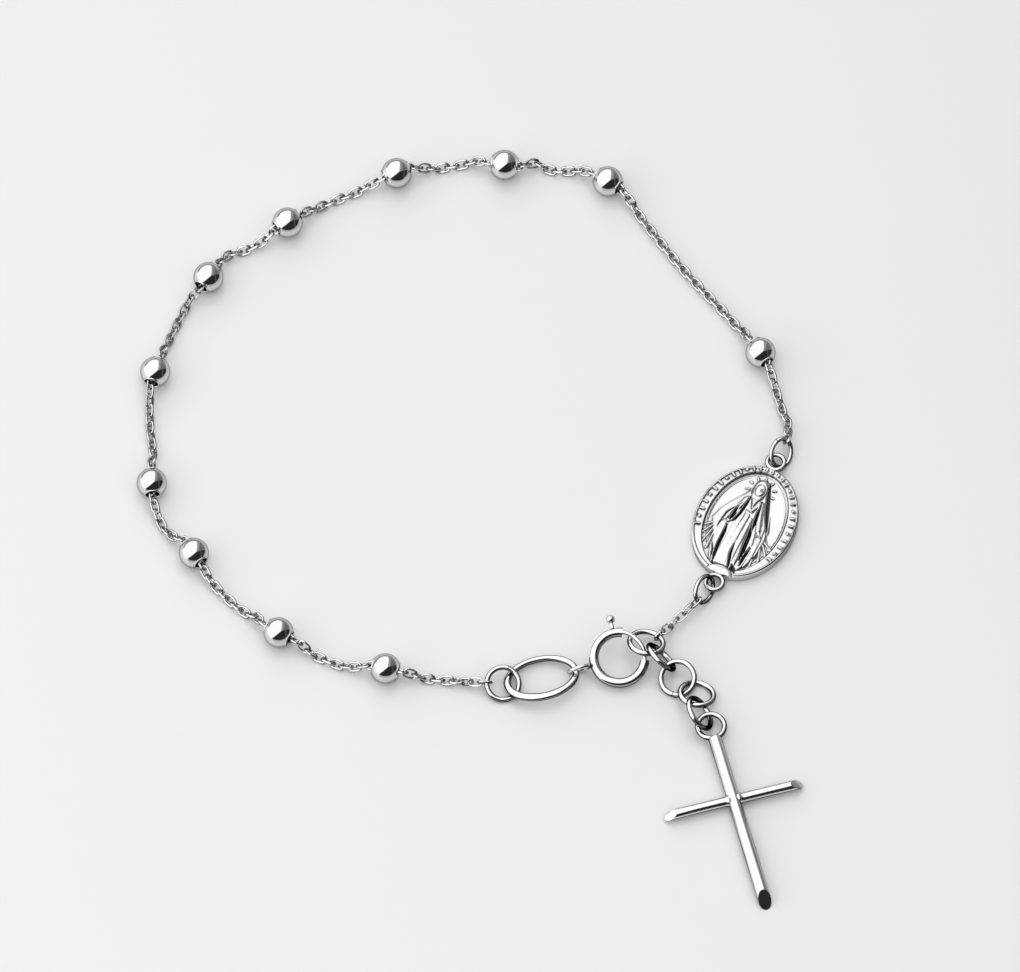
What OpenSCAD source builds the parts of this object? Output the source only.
// Rosary bracelet of silver, laid out on a flat surface. X runs to the right, Y away from the viewer, Z up.

/* [Beads] */
// Diameter of a bead
bead_diameter = 3.2; // [3.0:0.1:3.3]
// Diameter of the hole through a bead
bead_bore = 1.46; // [1.44:0.02:1.6]
// Width over the lip round the hole
bead_lip = 1.8; // [1.75:0.05:1.9]
// Length of a bead over its two lips
bead_length = 2.9; // [2.8:0.05:3.0]

/* [Chain] */
// Thickness of a link's wire
link_wire = 0.26; // [0.22:0.01:0.27]
// Width over a link
link_width = 1.16; // [1.14:0.01:1.18]
// Distance from one link to the next
link_pitch = 1.02; // [1.0:0.01:1.06]
// Play between the wires of two joined links
link_play = 0.22; // [0.2:0.01:0.24]
// Height of the chain's middle line where it lies on the surface
chain_rest = 0.48; // [0.47:0.01:0.6]

/* [Rings] */
// Wire of the extension rings
ring_wire = 0.56; // [0.46:0.02:0.56]
// Outer diameter of an extension ring
extension_diameter = 4.12; // [4.08:0.02:4.12]
// Wire of the jump ring at the chain's left end
jump_wire = 0.54; // [0.46:0.02:0.54]
// Outer diameter of that jump ring
jump_diameter = 3.98; // [3.94:0.02:3.98]
// Wire of the large oval ring
oval_wire = 0.7; // [0.6:0.02:0.7]
// Length over the large oval ring
oval_length = 8.1; // [8.0:0.05:8.1]
// Width over the large oval ring
oval_width = 5.6; // [5.5:0.05:5.7]

/* [Clasp] */
// Outer diameter of the spring ring
clasp_diameter = 6.4; // [6.3:0.1:6.4]
// Outer diameter of its hollow tube
clasp_tube = 1.0; // [0.96:0.02:1.0]
// Bore of the hollow tube
clasp_bore = 0.6; // [0.58:0.01:0.62]
// Thickness of the sliding tongue
tongue_wire = 0.48; // [0.44:0.02:0.48]
// Outer diameter of the attachment eye
clasp_eye = 2.7; // [2.6:0.05:2.7]

/* [Medal] */
// Length of the medal without its eyes
medal_length = 13.8; // [13.6:0.1:13.8]
// Width of the medal
medal_width = 10.8; // [10.4:0.1:11.0]
// Thickness over the rim
medal_thickness = 1.2; // [1.1:0.05:1.3]
// Thickness of the sunk field
medal_field = 0.8; // [0.7:0.05:0.85]
// Width of the rim
medal_rim = 0.95; // [0.9:0.05:1.1]
// How far the figure stands out of the field
relief = 0.34; // [0.28:0.02:0.36]

/* [Cross] */
// Diameter of the long bar
bar_diameter = 1.4; // [1.3:0.05:1.45]
// Diameter of the arms
arm_diameter = 1.05; // [0.95:0.05:1.2]
// Length of the long bar below the crossing
bar_below = 13.1; // [12:0.1:14]
// Length of the long bar above the crossing
bar_above = 7.6; // [7.5:0.1:7.7]
// Length over the two arms
arms_length = 15.2; // [13:0.2:17]

/* [Hidden] */
$fn = 48;
wire_fn = 24;
silver = [0.86, 0.86, 0.84];
bright = [0.93, 0.93, 0.92];
grey = [0.72, 0.72, 0.71];

// One row a bead, from the lone bead round to the last of the decade: x, y and the heading of its hole.
BEADS = [
  [30.7, 20.9, 120],
  [14.5, 41.6, 145],
  [3.5, 43.6, 174],
  [-8.0, 42.6, 203],
  [-19.6, 36.6, 213],
  [-28.0, 30.0, 236],
  [-33.6, 18.6, 253],
  [-33.9, 5.2, 274],
  [-29.4, -3.2, 303],
  [-20.4, -12.7, 328],
  [-9.1, -17.0, 348]
];
// Where the chain bends: one list for each stretch, from the medal to the jump ring, x and y in each row.
BENDS = [
  [[33.6, 12.6], [32.9, 14.7], [32.3, 17.0]],
  [[27.2, 25.9], [22.6, 31.4], [18.7, 36.8], [16.9, 39.5]],
  [[11.2, 43.3], [8.6, 43.5], [7.0, 44.1]],
  [[0.5, 44.3], [-1.6, 44.1], [-4.2, 43.6]],
  [[-12.4, 40.8], [-15.8, 39.2]],
  [[-22.1, 34.8], [-23.7, 34.0], [-25.3, 33.4], [-26.4, 32.5]],
  [[-30.2, 27.2], [-31.9, 23.6]],
  [[-34.2, 14.8], [-34.1, 12.0], [-33.8, 9.4]],
  [[-33.3, 1.8], [-32.1, -0.4]],
  [[-27.8, -5.9], [-24.9, -9.0], [-22.8, -10.6]],
  [[-18.1, -13.9], [-16.6, -14.9], [-13.2, -16.3]],
  [[-5.4, -17.6], [-1.8, -18.0]]
];
// Middle of each chain's end links: x, y and height, then the turn that sets the link square to its ring's wire.
CHAIN_TOP = [33.46, 10.64, 1.50, 130];
CHAIN_LEFT = [1.41, -18.41, 1.13, 112];
SHORT_TOP = [23.70, -9.03, 1.48, 29];
SHORT_LEFT = [19.93, -12.76, 1.16, 101];
// Where the short chain sags between its ends.
SHORT_SAG = [21.9, -10.7, 1.0];

// Rings as they lie: x, y and height of the middle, then how far the axis leans and the heading it leans to.
JUMP_RING = [3.34, -18.48, 0.97, 23.5, -76];
EXTENSION_RINGS = [
  [18.50, -14.02, 1.77, 22.5, 73],
  [20.06, -15.76, 1.79, 57, 36],
  [21.81, -17.85, 0.98, 23, -107],
  [23.82, -19.71, 0.94, 21.5, 70],
  [24.12, -22.41, 1.70, 52, 14]
];
// Oval rings: the same, then the turn of the long way about the axis, the length and the width.
OVAL_RING = [7.42, -17.85, 1.06, 9.5, 116, -103, oval_length, oval_width];
MEDAL_RING_TOP = [32.86, 9.07, 1.11, 42, -45, 128, 3.5, 2.8];
MEDAL_RING_BOTTOM = [24.65, -7.43, 1.36, 59, -24, 73, 3.7, 3.0];

CLASP = [15.64, -15.79, 1.72];
CLASP_LEAN = 20;
clasp_radius = (clasp_diameter - clasp_tube) / 2;
tube_from = 83;
tube_to = 354;
tongue_inside = 6;
tongue_tail = 112;
lever_at = 103;
lever_travel = 70;
lever_wire = 0.4;
lever_knob = 0.95;
lever_reach = 4.2;
slot_width = 0.56;
slot_margin = 7;
eye_wire = 0.48;
eye_at = 196;
eye_sunk = 0.15;

MEDAL = [29.0, 0.9];
MEDAL_TURN = 65.5;
medal_eye = 2.3;
medal_eye_wire = 0.5;
medal_eye_at = medal_length / 2 + 1.0;
medal_eye_height = 0.84;
medal_ring_wire = 0.46;
border_count = 44;
border_gap = 36;
border_dot = 0.3;
border_rise = 0.08;
ledge_gap = 0.12;
ledge_width = 0.14;
ledge_rise = 0.14;

CROSS = [27.70, -32.30, 0.89];
CROSS_TURN = 15.3;
CROSS_LEAN = 0.8;
cross_eye = 3.4;
cross_eye_wire = 0.56;
cut_angle = 38;

function two_digits(i) = str(i < 10 ? "0" : "", i);
BEAD_NODES = [for (i = [1 : len(BEADS)]) str("bead_", two_digits(i))];
EXTENSION_NODES = [for (i = [1 : len(EXTENSION_RINGS)]) str("extension_ring_", i)];

// The chain's route: it runs straight through each bead, and between them it follows the bends.
bead_lift = bead_diameter / 2;
exit_length = bead_length / 2 + 0.1;
fall_length = 3.8;
end_fall = 6;

function heading(a) = [cos(a), sin(a)];
function flat(p) = [p[0], p[1]];
function bead_stops(b) = [for (s = [-1, 0, 1]) flat(b) + s * exit_length * heading(b[2])];
ROUTE = [
  flat(CHAIN_TOP),
  for (i = [0 : len(BEADS) - 1]) each concat(BENDS[i], bead_stops(BEADS[i])),
  each BENDS[len(BEADS)],
  flat(CHAIN_LEFT)
];
steps = 8;
function spline(a, b, c, d, t) =
  0.5 * (2 * b + (c - a) * t + (2 * a - 5 * b + 4 * c - d) * t * t + (3 * b - a - 3 * c + d) * t * t * t);
function stop(list, i) = list[max(0, min(len(list) - 1, i))];
function smooth_line(list) = [
  for (i = [0 : len(list) - 2])
    for (k = [0 : steps - (i == len(list) - 2 ? 0 : 1)])
      spline(stop(list, i - 1), stop(list, i), stop(list, i + 1), stop(list, i + 2), k / steps)
];
function ease(t) = 0.5 + 0.5 * cos(180 * max(0, min(1, t)));
function bead_rise(p) =
  let (near = min([for (b = BEADS) norm(p - flat(b))]))
  (bead_lift - chain_rest) * ease((near - exit_length + 0.3) / fall_length);
function end_rise(p, end) = (end[2] - chain_rest) * pow(max(0, 1 - norm(p - flat(end)) / end_fall), 2);
function lifted(p) =
  [p[0], p[1], chain_rest + max(bead_rise(p), end_rise(p, CHAIN_TOP), end_rise(p, CHAIN_LEFT))];
LONG_LINE = [for (p = smooth_line(ROUTE)) lifted(p)];
SHORT_LINE = smooth_line([[for (axis = [0 : 2]) SHORT_TOP[axis]], SHORT_SAG, [for (axis = [0 : 2]) SHORT_LEFT[axis]]]);

// Length along a line of points, and the point at a given length.
function lengths(line, i = 0, sum = 0, out = []) =
  i == len(line) ? out
  : let (total = i == 0 ? 0 : sum + norm(line[i] - line[i - 1])) lengths(line, i + 1, total, concat(out, [total]));
LONG_LENGTHS = lengths(LONG_LINE);
SHORT_LENGTHS = lengths(SHORT_LINE);
function table(line, sums, axis) = [for (i = [0 : len(line) - 1]) [sums[i], line[i][axis]]];
LONG_TABLES = [for (axis = [0 : 2]) table(LONG_LINE, LONG_LENGTHS, axis)];
SHORT_TABLES = [for (axis = [0 : 2]) table(SHORT_LINE, SHORT_LENGTHS, axis)];
function point_at(tables, s) = [for (axis = [0 : 2]) lookup(s, tables[axis])];

// Links: middle, direction and turn of each. A link lies at 45 degrees, crossed with the next, and near each
// end of the chain the links turn by degrees to the turn that the end link needs.
link_length = link_pitch + 2 * link_wire + link_play;
turning_links = 4;
function link_turn(i) = 135 + 90 * (i % 2);
function half_turn_left(a) = (a % 180 + 270) % 180 - 90;
function links(tables, total, first, last) =
  let (count = round(total / link_pitch), pitch = total / count)
  [
    for (i = [0 : count])
      let (
        a = point_at(tables, max(0, (i - 0.5) * pitch)),
        b = point_at(tables, min(total, (i + 0.5) * pitch)),
        from_first = half_turn_left(first - link_turn(0)) * max(0, 1 - i / turning_links),
        from_last = half_turn_left(last - link_turn(count)) * max(0, 1 - (count - i) / turning_links)
      )
      [point_at(tables, i * pitch), b - a, link_turn(i) + from_first + from_last]
  ];
function last_of(list) = list[len(list) - 1];
LONG_LINKS = links(LONG_TABLES, last_of(LONG_LENGTHS), CHAIN_TOP[3], CHAIN_LEFT[3]);
SHORT_LINKS = links(SHORT_TABLES, last_of(SHORT_LENGTHS), SHORT_TOP[3], SHORT_LEFT[3]);
halfway = floor(len(LONG_LINKS) / 2);

module along(direction, turn) {
  rise = atan2(direction[2], norm([direction[0], direction[1]]));
  rotate([0, -rise, atan2(direction[1], direction[0])])
    rotate([turn, 0, 0])
      children();
}

module link() {
  straight = link_length - link_width;
  bend = (link_width - link_wire) / 2;
  for (side = [-1, 1]) {
    translate([side * straight / 2, 0, 0])
      rotate([0, 0, side * -90])
        rotate_extrude(angle = 180, $fn = wire_fn)
          translate([bend, 0])
            circle(d = link_wire, $fn = wire_fn);
    translate([-straight / 2, side * bend, 0])
      rotate([0, 90, 0])
        cylinder(d = link_wire, h = straight, $fn = wire_fn);
  }
}

module links_of(list, from, to) {
  color(silver)
    for (i = [from : to])
      translate(list[i][0])
        along(list[i][1], list[i][2])
          link();
}

module chain_right() {
  links_of(LONG_LINKS, 0, halfway - 1);
}

module chain_left() {
  links_of(LONG_LINKS, halfway, len(LONG_LINKS) - 1);
}

module chain_short() {
  links_of(SHORT_LINKS, 0, len(SHORT_LINKS) - 1);
}

module bead(row) {
  color(bright)
    translate([row[0], row[1], bead_lift])
      rotate([0, 90, row[2]])
        difference() {
          union() {
            sphere(d = bead_diameter, $fn = 64);
            cylinder(d = bead_lip, h = bead_length, center = true);
          }
          cylinder(d = bead_bore, h = bead_diameter + 1, center = true);
        }
}

// A ring of round wire about the Z axis.
module ring(outer, wire) {
  rotate_extrude($fn = 72)
    translate([(outer - wire) / 2, 0])
      circle(d = wire, $fn = wire_fn);
}

// A ring of round wire bent to an oval, long along X: one closed skin of rings of points.
module oval(length, width, wire) {
  turns = 48;
  sides = 12;
  a = (length - wire) / 2;
  b = (width - wire) / 2;
  points = [
    for (i = [0 : turns - 1])
      let (
        t = 360 * i / turns,
        out = [b * cos(t), a * sin(t)],
        away = out / norm(out)
      )
      for (k = [0 : sides - 1])
        let (reach = wire / 2 * cos(360 * k / sides))
        [a * cos(t) + reach * away[0], b * sin(t) + reach * away[1], wire / 2 * sin(360 * k / sides)]
  ];
  faces = [
    for (i = [0 : turns - 1])
      for (k = [0 : sides - 1])
        let (next = (i + 1) % turns, up = (k + 1) % sides)
        [i * sides + k, i * sides + up, next * sides + up, next * sides + k]
  ];
  polyhedron(points, faces);
}

module as_it_lies(row) {
  translate([row[0], row[1], row[2]])
    rotate([0, row[3], row[4]])
      children();
}

module extension_ring(row) {
  color(silver)
    as_it_lies(row)
      ring(extension_diameter, ring_wire);
}

module jump_ring() {
  color(silver)
    as_it_lies(JUMP_RING)
      ring(jump_diameter, jump_wire);
}

module oval_as_it_lies(row, wire) {
  as_it_lies(row)
    rotate([0, 0, row[5]])
      oval(row[6], row[7], wire);
}

module oval_ring() {
  color(bright)
    oval_as_it_lies(OVAL_RING, oval_wire);
}

module medal_ring_top() {
  color(silver)
    oval_as_it_lies(MEDAL_RING_TOP, medal_ring_wire);
}

module medal_ring_bottom() {
  color(silver)
    oval_as_it_lies(MEDAL_RING_BOTTOM, medal_ring_wire);
}

module on_clasp() {
  translate(CLASP)
    rotate([CLASP_LEAN, 0, 0])
      children();
}

// Part of a ring about the Z axis, from one angle to another.
module arc_of(from, to, radius) {
  rotate([0, 0, from])
    rotate_extrude(angle = to - from, $fn = 120)
      translate([radius, 0])
        children();
}

module clasp_ring() {
  eye_middle = clasp_radius + clasp_tube / 2 - eye_sunk + clasp_eye / 2;
  color(bright)
    on_clasp() {
      difference() {
        arc_of(tube_from, tube_to, clasp_radius)
          difference() {
            circle(d = clasp_tube, $fn = wire_fn);
            circle(d = clasp_bore, $fn = wire_fn);
          }
        arc_of(lever_at - slot_margin, lever_at + lever_travel + slot_margin, clasp_radius)
          translate([0, -slot_width / 2])
            square([clasp_tube, slot_width]);
      }
      rotate([0, 0, eye_at])
        translate([eye_middle, 0, 0])
          rotate([90, 0, 0])
            ring(clasp_eye, eye_wire);
    }
}

module clasp_tongue() {
  color(grey)
    on_clasp() {
      arc_of(tube_to - 360 - tongue_inside, tongue_tail, clasp_radius)
        circle(d = tongue_wire, $fn = wire_fn);
      rotate([0, 0, lever_at])
        translate([clasp_radius, 0, 0])
          rotate([0, 90, 0])
            cylinder(d = lever_wire, h = lever_reach - clasp_radius, $fn = wire_fn);
      rotate([0, 0, lever_at])
        translate([lever_reach, 0, 0])
          sphere(d = lever_knob, $fn = 32);
    }
}

function oval_points(length, width, count = 72) =
  [for (i = [0 : count - 1]) [length / 2 * cos(360 * i / count), width / 2 * sin(360 * i / count)]];

module oval_plate(length, width, height) {
  linear_extrude(height = height)
    polygon(oval_points(length, width));
}

// A band that follows the medal's outline, inset by one amount on the outside and another on the inside.
module oval_band(outside, inside, height) {
  linear_extrude(height = height)
    difference() {
      polygon(oval_points(medal_length - 2 * outside, medal_width - 2 * outside));
      polygon(oval_points(medal_length - 2 * inside, medal_width - 2 * inside));
    }
}

module on_medal() {
  translate([MEDAL[0], MEDAL[1], 0])
    rotate([0, 0, MEDAL_TURN])
      children();
}

// Standing robed figure with lowered open hands, head towards +X, on a globe that laps over the rim.
// One row a form: where it starts, x and y, where it ends, its radius there and there, and its share of the relief.
ROBE = [-5.0, 0.1, 2.9, 0, 1.7, 0.62, 1];
CLOAK = [-4.4, 1.2, 2.6, 0.75, 1.3, 0.62, 0.65];
SLEEVE = [2.4, 0.8, -0.2, 1.95, 0.46, 0.36, 1];
HAND = [-0.2, 1.95, -1.0, 2.3, 0.34, 0.22, 0.9];
head_at = 3.9;
head_radius = 0.56;
veil_radius = 0.8;
veil_share = 0.45;
globe_at = -5.55;
globe_radius = 1.5;
globe_rise = 0.1;
// Rays fan out below each hand, from x and y, at a first angle and then at even steps.
RAYS = [-0.9, 2.3];
ray_count = 5;
ray_first = 118;
ray_step = 14;
ray_length = 1.9;
ray_width = 0.16;
ray_rise = 0.1;

function mirrored(row) = [row[0], -row[1], row[2], -row[3], row[4], row[5], row[6]];

// A lying cone, cut off below the field.
module lying_form(row) {
  run = [row[2] - row[0], row[3] - row[1], row[4] - row[5]];
  intersection() {
    translate([row[0], row[1], medal_field + relief * row[6] - row[4]])
      along(run, 0)
        rotate([0, 90, 0])
          cylinder(r1 = row[4], r2 = row[5], h = norm(run));
    translate([-medal_length / 2, -medal_width / 2, medal_field / 2])
      cube([medal_length, medal_width, medal_thickness]);
  }
}

module head() {
  translate([head_at, 0, medal_field / 2])
    cylinder(r = veil_radius, h = medal_field / 2 + relief * veil_share);
  translate([head_at, 0, medal_field + relief - head_radius])
    sphere(r = head_radius, $fn = 32);
}

module rays(side) {
  for (i = [0 : ray_count - 1])
    translate([RAYS[0], side * RAYS[1], medal_field / 2])
      rotate([0, 0, side * (ray_first + ray_step * i)])
        translate([0, -ray_width / 2, 0])
          cube([ray_length, ray_width, medal_field / 2 + ray_rise]);
}

module figure() {
  lying_form(ROBE);
  lying_form(CLOAK);
  lying_form(mirrored(CLOAK));
  lying_form(SLEEVE);
  lying_form(mirrored(SLEEVE));
  lying_form(HAND);
  lying_form(mirrored(HAND));
  rays(1);
  rays(-1);
  head();
}

module globe() {
  intersection() {
    translate([globe_at, 0, medal_thickness + globe_rise - globe_radius])
      sphere(r = globe_radius);
    translate([globe_at - globe_radius, -globe_radius, medal_field / 2])
      cube([2 * globe_radius, 2 * globe_radius, medal_thickness]);
  }
}

// Raised dots along the rim, left out at the foot, and a fine ledge inside the rim.
module border() {
  for (i = [0 : border_count - 1])
    let (a = 360 * (i + 0.5) / border_count)
      if (abs(180 - a) > border_gap)
        translate([(medal_length - medal_rim) / 2 * cos(a), (medal_width - medal_rim) / 2 * sin(a), medal_field])
          cylinder(d = border_dot, h = medal_thickness - medal_field + border_rise, $fn = wire_fn);
}

module ledge() {
  oval_band(medal_rim + ledge_gap, medal_rim + ledge_gap + ledge_width, medal_field + ledge_rise);
}

module medal() {
  color(bright)
    on_medal() {
      oval_plate(medal_length, medal_width, medal_field);
      oval_band(0, medal_rim, medal_thickness);
      ledge();
      border();
      figure();
      globe();
      for (side = [-1, 1])
        translate([side * medal_eye_at, 0, medal_eye_height])
          ring(medal_eye, medal_eye_wire);
    }
}

// A round bar along +X from the middle, its end cut so that the cut faces up and outwards.
module cut_bar(length, diameter) {
  difference() {
    rotate([0, 90, 0])
      cylinder(d = diameter, h = length);
    translate([length, 0, -diameter / 2])
      rotate([0, cut_angle - 90, 0])
        translate([0, -diameter, 0])
          cube([diameter * 4, diameter * 2, diameter * 4]);
  }
}

module cross() {
  color(bright)
    translate(CROSS)
      rotate([0, 0, CROSS_TURN])
        rotate([CROSS_LEAN, 0, 0]) {
          rotate([0, 0, -90])
            cut_bar(bar_below, bar_diameter);
          rotate([0, 90, 90])
            cylinder(d = bar_diameter, h = bar_above);
          for (side = [0, 180])
            rotate([0, 0, side])
              cut_bar(arms_length / 2, arm_diameter);
          translate([0, bar_above + cross_eye / 2 - cross_eye_wire / 2, 0])
            ring(cross_eye, cross_eye_wire);
        }
}

for (i = [0 : len(BEADS) - 1])
  bead(BEADS[i]);
for (i = [0 : len(EXTENSION_RINGS) - 1])
  extension_ring(EXTENSION_RINGS[i]);
chain_right();
chain_left();
chain_short();
jump_ring();
oval_ring();
clasp_ring();
clasp_tongue();
medal();
medal_ring_top();
medal_ring_bottom();
cross();
